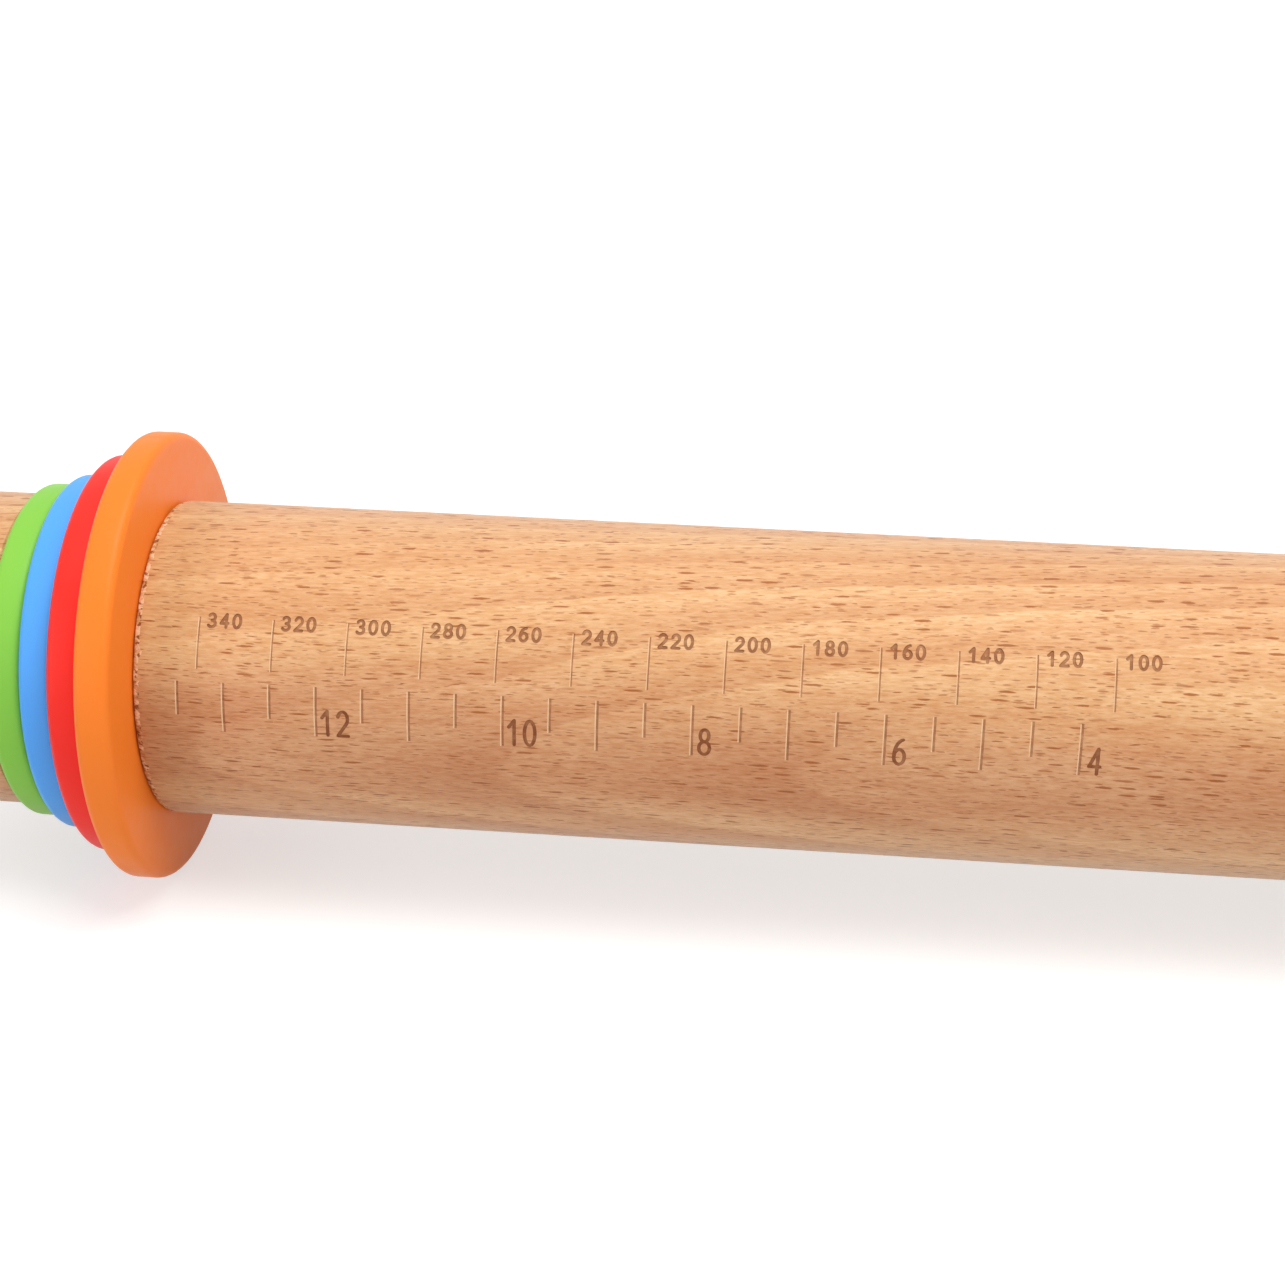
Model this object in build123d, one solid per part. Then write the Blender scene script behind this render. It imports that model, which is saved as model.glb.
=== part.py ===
from build123d import *
import os

# Adjustable beech rolling pin with four removable thickness rings at each end.
# Every length is in millimetres.
# The X axis is the pin's own axis, Z is up, and the origin is the middle of the roller.

os.makedirs("parts", exist_ok=True)

# Roller
roller_radius = 22.2
roller_length = 357.6
roller_corner = 0.4

# Thickness rings: how far each rim stands proud of the roller, and so how thick the dough stays
orange_step = 9.5
red_step = 6.0
blue_step = 3.0
green_step = 1.5

# Sizes that all the rings share
ring_thickness = 4.8
ring_edge_round = 0.6
ring_bore_clearance = 0.3
ring_hub_wall = 3.4
ring_web = 1.8
ring_core_margin = 3.4
ring_rib_thickness = 1.6
ring_ribs = 6
stack_gap = 0.1

# Shank and thread of the end screws: the thread's own turns are left off these plain solids
screw_radius = 8.0
screw_clearance = 0.08
screw_tip_chamfer = 1.2
screw_tip_room = 3.0
thread_pitch = 4.0
engaged_turns = 6

# Flanged hexagonal head that keys each screw into its end cap
head_flange_lip = 5.5
head_flange_thickness = 2.0
head_hex_lip = 3.0
head_hex_height = 6.5

# Threaded insert that is pressed into each end of the roller
insert_wall = 3.2
insert_rib_height = 1.1
insert_rib_width = 2.0
insert_rib_lead = 2.5
insert_ribs = 6
insert_flange_lip = 2.6
insert_flange_thickness = 2.2
insert_mouth_chamfer = 0.8

# End cap
cap_length = 16.0
cap_rim_round = 4.5
cap_inner_corner = 0.6

# Glue line between the wood and the plastic that is set in it
seat_gap = 0.05

# Sizes and places that follow from those above
ring_steps = {"orange": orange_step, "red": red_step, "blue": blue_step, "green": green_step}
roller_end = roller_length / 2
ring_pitch = ring_thickness + stack_gap
stack_length = len(ring_steps) * ring_pitch + stack_gap
cap_start = roller_end + stack_length
engaged_length = engaged_turns * thread_pitch
screw_length = stack_length + engaged_length
insert_bore_radius = screw_radius + screw_clearance
insert_sleeve_radius = insert_bore_radius + insert_wall


def rod(start, length, radius):
    """A round bar on the pin's axis. A positive length runs towards the right end."""
    return extrude(Plane.YZ.offset(start) * Circle(radius), length)


def turned(points):
    """A closed half profile of places along the pin and radii, turned round the pin's axis."""
    return revolve(make_face(Polyline(*points, close=True)), Axis.X)


def rims(solid):
    """The round edges of a solid, from left to right."""
    return solid.edges().filter_by(GeomType.CIRCLE).sort_by(Axis.X)


def spokes(count, start, length, inner, outer, width):
    """Bars that stand round the pin's axis like the spokes of a wheel."""
    middle = (inner + outer) / 2
    bars = Sketch() + PolarLocations(middle, count) * Rectangle(outer - inner, width)
    return extrude(Plane.YZ.offset(start) * bars, length)


def insert_form(grow):
    """Outer form of the right insert, grown on every side where its seat in the wood is cut."""
    rib_top = insert_sleeve_radius + insert_rib_height
    flange = rod(roller_end, -insert_flange_thickness - grow, rib_top + insert_flange_lip + grow)
    sleeve = rod(roller_end, -engaged_length - grow, insert_sleeve_radius + grow)
    rib_length = engaged_length - insert_rib_lead + grow
    rib_width = insert_rib_width + 2 * grow
    ribs = spokes(insert_ribs, roller_end, -rib_length, insert_bore_radius, rib_top + grow, rib_width)
    return flange + sleeve + ribs


def make_insert():
    """Ribbed plastic sleeve whose flange lies flush with the end of the roller."""
    bore = turned([
        (roller_end, 0),
        (roller_end, insert_bore_radius + insert_mouth_chamfer),
        (roller_end - insert_mouth_chamfer, insert_bore_radius),
        (roller_end - engaged_length, insert_bore_radius),
        (roller_end - engaged_length, 0),
    ])
    return insert_form(0) - bore


def make_socket():
    """Room in the right end of the roller: the insert's seat, then a drilled hole for the screw."""
    hole_radius = insert_bore_radius + seat_gap
    bottom = roller_end - screw_length - screw_tip_room
    hole = turned([
        (roller_end, 0),
        (roller_end, hole_radius),
        (bottom, hole_radius),
        (bottom - hole_radius / 2, 0),
    ])
    return insert_form(seat_gap) + hole


def make_roller():
    """Solid beech cylinder with a socket in each end."""
    body = rod(-roller_end, roller_length, roller_radius)
    body = chamfer(rims(body), roller_corner)
    socket = make_socket()
    return body - socket - mirror(socket, Plane.YZ)


def make_ring(place, step):
    """Moulded ring: a flat face towards the roller, a cored and ribbed face towards the cap."""
    start = roller_end + stack_gap + place * ring_pitch
    ring = rod(start, ring_thickness, roller_radius + step)
    ring = fillet(rims(ring), ring_edge_round)
    bore_radius = screw_radius + ring_bore_clearance
    core_start = start + ring_web
    core_depth = ring_thickness - ring_web
    core = rod(core_start, core_depth, roller_radius - ring_core_margin)
    core -= rod(core_start, core_depth, bore_radius + ring_hub_wall)
    core -= spokes(ring_ribs, core_start, core_depth, bore_radius, roller_radius, ring_rib_thickness)
    return ring - core - rod(start, ring_thickness, bore_radius)


def head_form(grow):
    """Flange and hexagon of the right screw's head, grown where their seat in the cap is cut."""
    flange = rod(cap_start, head_flange_thickness + grow, screw_radius + head_flange_lip + grow)
    hexagon = RegularPolygon(screw_radius + head_hex_lip + grow, 6)
    hex_length = head_flange_thickness + head_hex_height + grow
    return flange + extrude(Plane.YZ.offset(cap_start) * hexagon, hex_length)


def make_screw():
    """Long plastic screw that carries the rings and draws the cap against the roller."""
    shank = rod(cap_start, -screw_length, screw_radius)
    shank = chamfer(rims(shank)[0], screw_tip_chamfer)
    return shank + head_form(0)


def make_cap():
    """Short beech end cap, as wide as the roller, with a rounded outer rim."""
    cap = rod(cap_start, cap_length, roller_radius)
    cap = fillet(rims(cap)[-1], cap_rim_round)
    cap = chamfer(rims(cap)[0], cap_inner_corner)
    return cap - head_form(seat_gap)


def save_pair(shape, name):
    """Write the right piece, and its mirror image for the left end."""
    export_step(shape, "parts/right_" + name + ".step")
    export_step(mirror(shape, Plane.YZ), "parts/left_" + name + ".step")


export_step(make_roller(), "parts/roller.step")
save_pair(make_insert(), "threaded_insert")
for place, (colour, step) in enumerate(ring_steps.items()):
    save_pair(make_ring(place, step), colour + "_ring")
save_pair(make_screw(), "end_screw")
save_pair(make_cap(), "end_cap")

print("length over the caps", round(2 * (cap_start + cap_length), 2))
print("travel of each cap", engaged_length)
print("each cap starts at", round(cap_start, 2))
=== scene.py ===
# %% [markdown]
# This lesson dresses a beech rolling pin. Four plastic rings of falling size sit on a screw at
# each end of its roller, and the largest one left on sets how thick the dough comes out. Two
# engraved scales show how wide a round sheet of it has grown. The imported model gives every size
# and every moving body, and the cells below give each piece its surface: engraved wood, moulded
# plastic and real threads.

# %% Load the frame
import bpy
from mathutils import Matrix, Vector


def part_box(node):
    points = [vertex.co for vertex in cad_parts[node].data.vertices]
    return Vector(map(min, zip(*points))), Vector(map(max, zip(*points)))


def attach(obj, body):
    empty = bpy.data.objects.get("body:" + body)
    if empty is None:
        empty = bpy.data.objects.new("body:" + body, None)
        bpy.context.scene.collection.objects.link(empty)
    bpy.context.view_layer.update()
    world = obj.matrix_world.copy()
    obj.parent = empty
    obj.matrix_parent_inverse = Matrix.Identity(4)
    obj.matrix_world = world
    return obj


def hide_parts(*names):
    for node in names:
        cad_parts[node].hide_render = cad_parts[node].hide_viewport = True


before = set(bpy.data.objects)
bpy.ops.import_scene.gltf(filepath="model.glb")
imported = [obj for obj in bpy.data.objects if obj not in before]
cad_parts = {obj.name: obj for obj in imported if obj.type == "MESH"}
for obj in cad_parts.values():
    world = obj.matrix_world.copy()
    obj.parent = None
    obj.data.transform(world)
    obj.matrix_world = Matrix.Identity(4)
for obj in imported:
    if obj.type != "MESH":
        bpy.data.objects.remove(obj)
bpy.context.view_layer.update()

# %% Modules, and the sizes that the frame gives
import math

import bmesh
import bpy
from mathutils import Euler, Matrix, Vector, noise
from mathutils.geometry import delaunay_2d_cdt

mm = 0.001
sides = {"left": -1, "right": 1}
ring_colours = ("orange", "red", "blue", "green")
roller_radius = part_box("roller")[1].z
roller_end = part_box("roller")[1].x
cap_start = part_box("right_end_cap")[0].x
pin_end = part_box("right_end_cap")[1].x
floor_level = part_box("right_orange_ring")[0].z
print("roller", round(2 * roller_end / mm, 1), "mm long,", round(2 * roller_radius / mm, 1), "mm wide")


def place_object(name, data):
    """A new object at the origin, linked to the scene."""
    made = bpy.data.objects.new(name, data)
    bpy.context.scene.collection.objects.link(made)
    return made


# %% [markdown]
# The camera comes first, so that every later choice can be judged in the right view. A pinhole
# camera was fitted to the engraved marks and the outlines in the photograph. The fit says nothing
# of how high the eye was, because a round pin looks the same from every height. So the camera
# and the scales are turned together about the pin's own axis, until the floor fills the picture.

# %% Camera
picture_width = 1285
picture_focus = 2185.4
optical_row = 750.0
eye = Vector((-85.1, -305.4, 0)) * mm
lean = Euler((0.0261, 0.0578, -0.0884), "XYZ")
eye_height = math.radians(25)


def make_camera():
    """The camera of the photograph, lifted round the pin's axis."""
    data = bpy.data.cameras.new("camera")
    data.lens = picture_focus / picture_width * data.sensor_width
    data.shift_y = (optical_row - picture_width / 2) / picture_width
    data.clip_start = 10 * mm
    right, ahead, up = lean.to_matrix()
    lift = Matrix.Rotation(-eye_height, 3, "X")
    turned = Matrix((lift @ right, lift @ up, -(lift @ ahead))).transposed()
    camera = place_object("camera", data)
    camera.matrix_world = Matrix.Translation(lift @ eye) @ turned.to_4x4()
    bpy.context.scene.camera = camera
    return camera


camera = make_camera()
print("lens", round(camera.data.lens, 1), "mm, eye at", [round(v / mm) for v in camera.location])

# %% [markdown]
# Shaders and Geometry Nodes are chains of small nodes. A few helpers keep the chains short to
# write: feed gives a node's inputs plain values or the outputs of other nodes, add makes a node
# and feeds it, and most of the others make one kind of node and return its result.

# %% Helpers for node trees
def feed(tree, node, inputs):
    """Gives inputs of a node a plain value, or a socket to link from."""
    for key, value in inputs.items():
        if isinstance(value, bpy.types.NodeSocket):
            tree.links.new(value, node.inputs[key])
        else:
            node.inputs[key].default_value = value


def add(tree, kind, inputs=None, **settings):
    """A new node, with its settings made and its inputs fed."""
    made = tree.nodes.new(kind)
    for key, value in settings.items():
        setattr(made, key, value)
    feed(tree, made, inputs or {})
    return made


def calc(tree, operation, *values):
    """The result of one Math node."""
    return add(tree, "ShaderNodeMath", dict(enumerate(values)), operation=operation).outputs[0]


def calc_vector(tree, operation, *values):
    """The result of one Vector Math node, which is a number for a length."""
    made = add(tree, "ShaderNodeVectorMath", dict(enumerate(values)), operation=operation)
    return made.outputs["Value" if operation == "LENGTH" else "Vector"]


def vector(tree, x=0.0, y=0.0, z=0.0):
    """Three numbers as one vector."""
    return add(tree, "ShaderNodeCombineXYZ", {0: x, 1: y, 2: z}).outputs[0]


def parts(tree, value):
    """The three numbers of a vector."""
    return add(tree, "ShaderNodeSeparateXYZ", {0: value}).outputs


def smooth_step(tree, value, start, stop, low=0.0, high=1.0):
    """Runs smoothly from low to high while the value goes from start to stop."""
    inputs = {"Value": value, "From Min": start, "From Max": stop, "To Min": low, "To Max": high}
    return add(tree, "ShaderNodeMapRange", inputs, interpolation_type="SMOOTHSTEP").outputs[0]


def blend_colour(tree, share, first, second, blend_type="MIX"):
    """The result of a Mix node for colours."""
    inputs = {0: share, 6: first, 7: second}
    return add(tree, "ShaderNodeMix", inputs, data_type="RGBA", blend_type=blend_type).outputs[2]


def colour(red, green, blue):
    """A screen colour of 0 to 255 as the linear colour that shaders work with."""
    def linear(part):
        part = part / 255
        return part / 12.92 if part <= 0.04045 else ((part + 0.055) / 1.055) ** 2.4
    return (linear(red), linear(green), linear(blue), 1.0)


def node_group(kind, name, inputs, outputs):
    """An empty group with its sockets; returns the tree, its inputs by name and its end."""
    tree = bpy.data.node_groups.new(name, kind + "NodeTree")
    for socket, (socket_kind, value) in inputs.items():
        made = tree.interface.new_socket(socket, in_out="INPUT", socket_type="NodeSocket" + socket_kind)
        if value is not None:
            made.default_value = value
    for socket, socket_kind in outputs.items():
        tree.interface.new_socket(socket, in_out="OUTPUT", socket_type="NodeSocket" + socket_kind)
    start = tree.nodes.new("NodeGroupInput")
    end = tree.nodes.new("NodeGroupOutput")
    return tree, {socket.name: socket for socket in start.outputs if socket.name}, end


# %% [markdown]
# Beech is easy to recognise: short dark flecks lie all over it, along the grain. They are the
# ends of thin plates, the rays, which run from the pith to the bark. A picture painted on the
# outside would never line up with the end grain. So this group works out where each point lay in
# the tree, as a distance from the pith, an arc round it and a place along the trunk, and fills
# that space with rays, growth rings, fibres and pores, and with one redder streak along the
# trunk, as old beeches have. Every cut through it then looks right. The streak is also painted
# shade: it is placed to darken the lower front of the roller.

# %% Beech grain
def noise_at(tree, place, scale, detail=2.0, roughness=0.5, output=0):
    """Noise at a place that is first stretched along each axis: scale is in features a metre."""
    stretched = calc_vector(tree, "MULTIPLY", place, scale)
    inputs = {"Vector": stretched, "Scale": 1.0, "Detail": detail, "Roughness": roughness}
    return add(tree, "ShaderNodeTexNoise", inputs).outputs[output]


def ray_flecks(tree, place, spacing, half_size):
    """Mask of lens-shaped flecks, one in each cell. Sizes are in mm: along, round and outwards."""
    cells = calc_vector(tree, "MULTIPLY", place, [1 / (step * mm) for step in spacing])
    seeds = add(tree, "ShaderNodeTexVoronoi", {"Vector": cells, "Scale": 1.0}, voronoi_dimensions="3D")
    from_seed = calc_vector(tree, "SUBTRACT", cells, seeds.outputs["Position"])
    shape = [step / half for step, half in zip(spacing, half_size)]
    away = calc_vector(tree, "LENGTH", calc_vector(tree, "MULTIPLY", from_seed, shape))
    chance = add(tree, "ShaderNodeSeparateColor", {0: seeds.outputs["Color"]}).outputs
    torn = noise_at(tree, place, (1100, 4200, 300))
    away = calc(tree, "MULTIPLY_ADD", torn, 1.1, calc(tree, "SUBTRACT", away, 0.55))
    reach = smooth_step(tree, chance[1], 0.0, 1.0, 0.5, 1.25)
    mask = smooth_step(tree, calc(tree, "DIVIDE", away, reach), 1.1, 0.6)
    return calc(tree, "MULTIPLY", mask, smooth_step(tree, chance[0], 0.0, 0.8, 0.2, 1.0))


fleck_strength = 0.84


def beech_group():
    """Beech as a solid: place in the log goes in, with X along the trunk and the pith on X."""
    tree, given, end = node_group("Shader", "beech_grain", {
        "Place": ("Vector", None),
        "Bark distance": ("Float", 77 * mm),
        "Ring width": ("Float", 3.6 * mm),
        "Ring strength": ("Float", 0.42),
        "Fleck strength": ("Float", fleck_strength),
        "Pale wood": ("Color", colour(239, 193, 142)),
        "Warm wood": ("Color", colour(217, 154, 102)),
        "Late wood": ("Color", colour(197, 126, 76)),
        "Fleck": ("Color", colour(160, 84, 27)),
        # the streak's tint: partly the wood's colour, partly painted shade on the roller's lower front
        "Streak tint and shade": ("Color", (0.92, 0.83, 0.85, 1)),
    }, {"Colour": "Color", "Roughness": "Float", "Height": "Float"})
    place = given["Place"]
    drift = noise_at(tree, place, (9, 24, 24), 1.0, output=1)
    drift = calc_vector(tree, "SUBTRACT", drift, (0.5, 0.5, 0.5))
    drift = calc_vector(tree, "MULTIPLY", drift, (0, 4 * mm, 4 * mm))
    axes = parts(tree, calc_vector(tree, "ADD", place, drift))
    distance = calc_vector(tree, "LENGTH", vector(tree, 0.0, axes[1], axes[2]))
    turn = calc(tree, "ARCTAN2", axes[1], axes[2])
    arc = calc(tree, "MULTIPLY", turn, given["Bark distance"])
    trunk = vector(tree, axes[0], arc, distance)

    large = ray_flecks(tree, trunk, (3.4, 1.0, 4.4), (1.2, 0.16, 1.9))
    small = ray_flecks(tree, trunk, (1.6, 0.5, 2.8), (0.6, 0.1, 1.3))
    flecks = calc(tree, "MAXIMUM", large, calc(tree, "MULTIPLY", small, 0.7))

    wander = noise_at(tree, trunk, (7, 30, 30), 4.0)
    phase = calc(tree, "DIVIDE", distance, given["Ring width"])
    phase = calc(tree, "FRACT", calc(tree, "MULTIPLY_ADD", wander, 1.8, phase))
    late = calc(tree, "MULTIPLY", smooth_step(tree, phase, 0.1, 0.9), smooth_step(tree, phase, 1.0, 0.94))
    here = smooth_step(tree, noise_at(tree, trunk, (6, 30, 30)), 0.3, 0.6, 0.2, 1.0)
    late = calc(tree, "MULTIPLY", calc(tree, "MULTIPLY", late, here), given["Ring strength"])
    # the streak: partly the wood's colour, partly painted shade on the roller's lower front
    aside = calc(tree, "SUBTRACT", calc(tree, "MULTIPLY_ADD", wander, 20 * mm, arc), 10 * mm)
    streak_and_shade = smooth_step(tree, calc(tree, "ABSOLUTE", aside), 14 * mm, 3 * mm)

    tone = noise_at(tree, trunk, (9, 110, 110), 5.0, 0.66)
    tone = smooth_step(tree, tone, 0.3, 0.7, 0.1, 0.75)
    fibre = noise_at(tree, trunk, (400, 2700, 2700), 3.0, 0.6)
    pores = smooth_step(tree, noise_at(tree, trunk, (900, 9000, 9000), 1.0), 0.6, 0.75)

    wood = blend_colour(tree, tone, given["Pale wood"], given["Warm wood"])
    wood = blend_colour(tree, late, wood, given["Late wood"])
    wood = blend_colour(tree, streak_and_shade, wood, given["Streak tint and shade"], "MULTIPLY")
    fine = calc(tree, "MULTIPLY_ADD", pores, 0.3, smooth_step(tree, fibre, 0.3, 0.7))
    fine = blend_colour(tree, fine, (1.05, 1.11, 1.18, 1), (0.91, 0.82, 0.72, 1))
    wood = blend_colour(tree, 1.0, wood, fine, "MULTIPLY")
    marked = calc(tree, "MULTIPLY", flecks, given["Fleck strength"])
    wood = blend_colour(tree, marked, wood, given["Fleck"])

    rough = calc(tree, "MULTIPLY_ADD", flecks, 0.1, 0.46)
    rough = calc(tree, "MULTIPLY_ADD", fibre, 0.12, rough)
    height = calc(tree, "MULTIPLY_ADD", flecks, -0.4, calc(tree, "MULTIPLY", fibre, 0.6))
    height = calc(tree, "MULTIPLY_ADD", pores, -0.3, height)
    feed(tree, end, {"Colour": wood, "Roughness": rough, "Height": height})
    return tree


beech = beech_group()
print("beech grain:", len(beech.nodes), "nodes")

# %% [markdown]
# A material places the group in its own tree. The Mapping node turns and shifts the piece inside
# the log: the roller shows its bark side to the camera, and leans in the log, so that the growth
# rings run out over its side in long soft arcs. Each cap comes from another part of the trunk.
#
# Bare sanded beech is matt, and its loose fibres catch the light where the surface turns away,
# so a weak sheen pales the edges. Beside the rings, painted shade darkens the roller a little.
# Wood that a laser has burnt is the same wood, only scorched: it is blended towards a second
# colour, its flecks fade, and it has less of the sheen, because the loose fibres are gone.

# %% Wood materials
pith_depth = 55 * mm
bark_side = math.radians(-2)
log_lean = math.radians(-4)
roller_shift = (7.3, 0, 0)
scorch = colour(127, 61, 26)
# the pale colour of the painted highlight on each tick's lit flank
flank_highlight = colour(247, 211, 170)
torn_chip = colour(244, 219, 184)
# painted shade for the small pits in the torn edge
pit_shade = colour(121, 65, 29)
# painted shade beside the rings: the roller's colour is multiplied by this tint over the last stretch
stain = (0.86, 0.96, 0.9, 1)
end_shade_length = 14 * mm


def bare_material(name):
    """A new material; returns it with its tree, its shader and the coordinates of its piece."""
    material = bpy.data.materials.new(name)
    material.use_nodes = True
    tree = material.node_tree
    own = add(tree, "ShaderNodeTexCoord").outputs["Object"]
    return material, tree, tree.nodes["Principled BSDF"], own


def torn_wood(tree, place, shade):
    """Wood where a saw has torn the fibres off: pale chips, and dark pits that are painted shade."""
    rough = noise_at(tree, place, (900, 1300, 1300), 3.0, 0.65)
    pits = noise_at(tree, place, (1300, 1700, 1700), 2.0, 0.6)
    shade = blend_colour(tree, smooth_step(tree, rough, 0.42, 0.6, 0.0, 0.8), shade, torn_chip)
    # painted shade: dark spots stand for the shade inside small pits
    return blend_colour(tree, smooth_step(tree, pits, 0.54, 0.62, 0.0, 0.85), shade, pit_shade), rough


def stained_ends(tree, place, shade):
    """The roller's wood with painted shade beside the rings: a little darker and less orange there."""
    along = calc(tree, "ABSOLUTE", parts(tree, place)[0])
    near = smooth_step(tree, along, roller_end - end_shade_length, roller_end)
    return blend_colour(tree, near, shade, stain, "MULTIPLY")


def wood_material(name, shift, burnt=0.0, target=scorch, torn=False):
    """Beech cut from the log at that place. burnt is how far its colour goes to the target."""
    material, tree, shader, own = bare_material(name)
    location = (shift[0], shift[1], pith_depth + shift[2])
    mapping = {"Vector": own, "Location": location, "Rotation": (bark_side - math.pi / 2, log_lean, 0)}
    place = add(tree, "ShaderNodeMapping", mapping).outputs[0]
    inputs = {"Place": place, "Fleck strength": fleck_strength * (1 - burnt)}
    grain = add(tree, "ShaderNodeGroup", inputs, node_tree=beech).outputs
    shade, height, depth = grain["Colour"], grain["Height"], 0.06 * mm
    # painted shade on the roller beside the rings
    if shift == roller_shift:
        shade = stained_ends(tree, own, shade)
    if burnt:
        patchy = noise_at(tree, place, (700, 700, 700))
        patchy = smooth_step(tree, patchy, 0.3, 0.6, 0.7 * burnt, burnt)
        shade = blend_colour(tree, patchy, shade, target)
    if torn:
        shade, height = torn_wood(tree, place, shade)
        depth = 0.2 * mm
    feed(tree, shader, {
        "Base Color": shade,
        "Roughness": grain["Roughness"],
        "Normal": add(tree, "ShaderNodeBump", {"Height": height, "Distance": depth}).outputs[0],
        "Specular IOR Level": 0.18,
        "Sheen Weight": 0 if torn else 0.35 * (1 - burnt),
        "Sheen Roughness": 0.5,
    })
    return material


roller_wood = wood_material("beech_roller", roller_shift)
roller_materials = [
    roller_wood,
    wood_material("beech_burnt_floor", roller_shift, burnt=0.85),
    wood_material("beech_faint_floor", roller_shift, burnt=0.72),
    wood_material("beech_burnt_wall", roller_shift, burnt=0.5),
    # painted highlight on the groove flank that faces the key light
    wood_material("beech_flank_highlight", roller_shift, burnt=0.75, target=flank_highlight),
    wood_material("beech_burnt_flank", roller_shift, burnt=0.62),
    wood_material("beech_torn_edge", roller_shift, torn=True),
]
floor_slot, faint_slot, wall_slot, highlight_flank_slot, burnt_slot, torn_slot = range(1, 7)
cap_wood = {
    "left": wood_material("beech_left_cap", (1.3, 0.011, 0.006)),
    "right": wood_material("beech_right_cap", (2.1, -0.014, 0.009)),
}
print("wood materials:", len(roller_materials) + len(cap_wood))

# %% [markdown]
# The rings are moulded from a soft, matt plastic. Their colour runs through the whole piece, so
# it hardly changes: what the eye reads as plastic is a fine spark-eroded texture from the mould,
# faint flow lines, and a gloss that is duller in patches, where hands and dough have rubbed it.

# %% Moulded plastic
def plastic_group():
    """Moulded plastic: a colour goes in, and its small changes over the surface come out."""
    tree, given, end = node_group("Shader", "moulded_plastic", {
        "Place": ("Vector", None),
        "Colour": ("Color", (1, 1, 1, 1)),
        "Shade": ("Color", (0.8, 0.8, 0.8, 1)),
        "Roughness": ("Float", 0.45),
    }, {"Colour": "Color", "Roughness": "Float", "Height": "Float"})
    place = given["Place"]
    cloud = noise_at(tree, place, (45, 45, 45), 3.0)
    grit = noise_at(tree, place, (5200, 5200, 5200))
    rubbed = noise_at(tree, place, (160, 420, 420), 4.0, 0.65)
    shade = smooth_step(tree, cloud, 0.3, 0.7, 0.0, 0.3)
    tone = blend_colour(tree, shade, given["Colour"], given["Shade"])
    rough = calc(tree, "ADD", given["Roughness"], smooth_step(tree, rubbed, 0.35, 0.7, -0.03, 0.04))
    height = calc(tree, "MULTIPLY_ADD", rubbed, 0.5, calc(tree, "MULTIPLY", grit, 0.2))
    feed(tree, end, {"Colour": tone, "Roughness": rough, "Height": height})
    return tree


def plastic_material(name, tint, shade, roughness):
    """Moulded plastic of that tint. A little light travels under its surface."""
    material, tree, shader, own = bare_material(name)
    inputs = {"Place": own, "Colour": colour(*tint), "Shade": colour(*shade), "Roughness": roughness}
    body = add(tree, "ShaderNodeGroup", inputs, node_tree=plastic).outputs
    bump = {"Height": body["Height"], "Distance": 0.006 * mm}
    feed(tree, shader, {
        "Base Color": body["Colour"],
        "Roughness": body["Roughness"],
        "Normal": add(tree, "ShaderNodeBump", bump).outputs[0],
        "Subsurface Weight": 0.1,
        "Subsurface Scale": 1.5 * mm,
        "Specular IOR Level": 0.2,
    })
    return material


plastic = plastic_group()
plastics = {}
for tint, main, shade, roughness in (
    ("orange", (255, 134, 42), (255, 128, 38), 0.44),
    ("red", (255, 50, 40), (250, 43, 36), 0.44),
    ("blue", (90, 173, 255), (82, 163, 252), 0.44),
    ("green", (140, 206, 76), (130, 197, 68), 0.44),
    ("screw", (238, 236, 228), (230, 226, 216), 0.36),
    ("insert", (228, 225, 214), (220, 215, 202), 0.4),
):
    plastics[tint] = plastic_material(f"{tint}_plastic", main, shade, roughness)
print("plastics:", ", ".join(plastics))

# %% [markdown]
# Every piece of this pin is round, so most of them are made as a lathe would make them. A loop of
# points goes round the axis, the next loop lies a little further along the profile, and faces
# join the two. Where a piece isn't quite round, as at a rib or a hexagon, only the radius of a few
# points changes, and the loops still have the same number of points. Faces that meet at more than
# the crease angle show a sharp edge.

# %% Helpers for turned pieces
crease, wide_crease = math.radians(30), math.radians(40)


def point(place, radius, degrees):
    """A point at that place along the pin. The angle is measured up from the camera's side."""
    turn = math.radians(degrees)
    return Vector((place, -radius * math.cos(turn), radius * math.sin(turn)))


def round_loop(place, radius, columns):
    """A plain circle of points."""
    return [point(place, radius, 360 * j / columns) for j in range(columns)]


def skin(mesh, loops, closed=False, slot=0):
    """Faces between loops that have equally many points; closed joins the last to the first."""
    rows = [[mesh.verts.new(place) for place in loop] for loop in loops]
    pairs = list(zip(rows, rows[1:]))
    if closed:
        pairs.append((rows[-1], rows[0]))
    for first, second in pairs:
        for j in range(len(first)):
            k = (j + 1) % len(first)
            mesh.faces.new((first[j], first[k], second[k], second[j])).material_index = slot


def rounded(corners, steps=5):
    """A profile of (place, radius, round) corners. A corner with a round becomes a short arc."""
    points = []
    count = len(corners)
    for i, (place, radius, cut) in enumerate(corners):
        corner = Vector((place, radius))
        if not cut:
            points.append(corner)
            continue
        before = Vector(corners[i - 1][:2])
        after = Vector(corners[(i + 1) % count][:2])
        start = corner + (before - corner).normalized() * cut
        stop = corner + (after - corner).normalized() * cut
        pull = 2 * math.cos((corner - before).angle(after - corner) / 2)
        for k in range(steps + 1):
            t = k / steps
            shares = (1 - t) ** 2, pull * t * (1 - t), t ** 2
            points.append((start * shares[0] + corner * shares[1] + stop * shares[2]) / sum(shares))
    return points


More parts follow.
